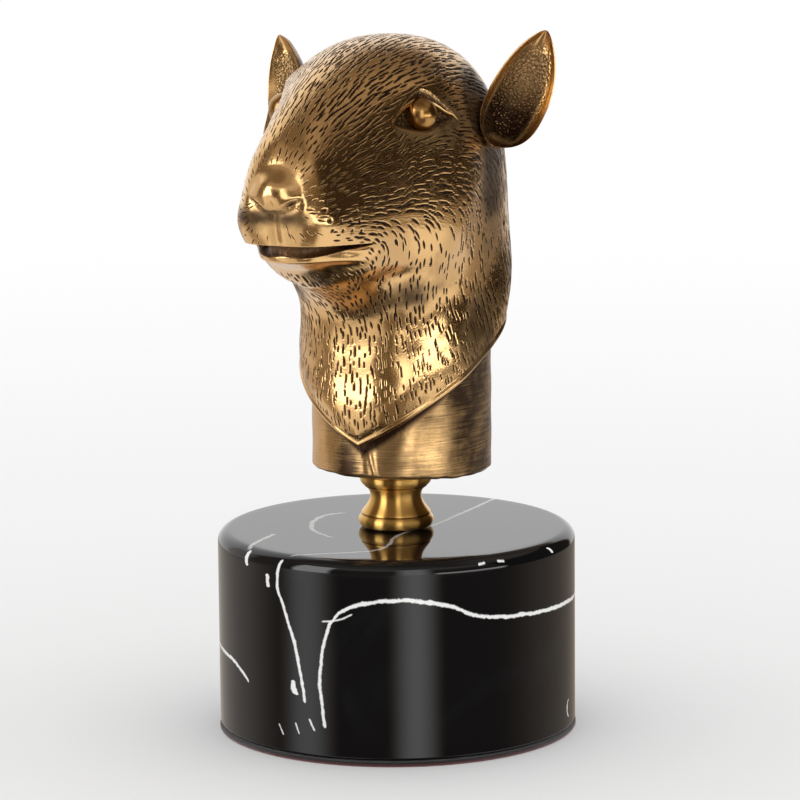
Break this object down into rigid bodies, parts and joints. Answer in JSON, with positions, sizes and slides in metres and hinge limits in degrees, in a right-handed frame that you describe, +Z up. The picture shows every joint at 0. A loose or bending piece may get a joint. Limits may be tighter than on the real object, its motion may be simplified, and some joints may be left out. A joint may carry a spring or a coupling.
{
  "type": "chinese zodiac figure",
  "caption": "Cast brass rat's head with a long snout, cupped ears and a pelt that ends in a point over a plain neck, on a turned stem and a round black marble plinth.",
  "frame": {"origin": "centre of the felt pad's underside, on the plinth's axis", "axes": "+Z up along the plinth's axis, the nose points to -Y, and the animal's left side is +X"},
  "size_m": [0.086, 0.1112, 0.1672],
  "materials": {
    "felt": "short dark red-brown felt",
    "marble": "polished black marble with thin white veins",
    "turned_brass": "bright turned brass with fine tool lines",
    "antique_brass": "antique brass, polished on the high places and dark brown in the strokes"
  },
  "bodies": {
    "root": {"felt_pad": "felt", "marble_plinth": "marble", "turned_stem": "turned_brass", "rat_head": "antique_brass"}
  },
  "joints": []
}
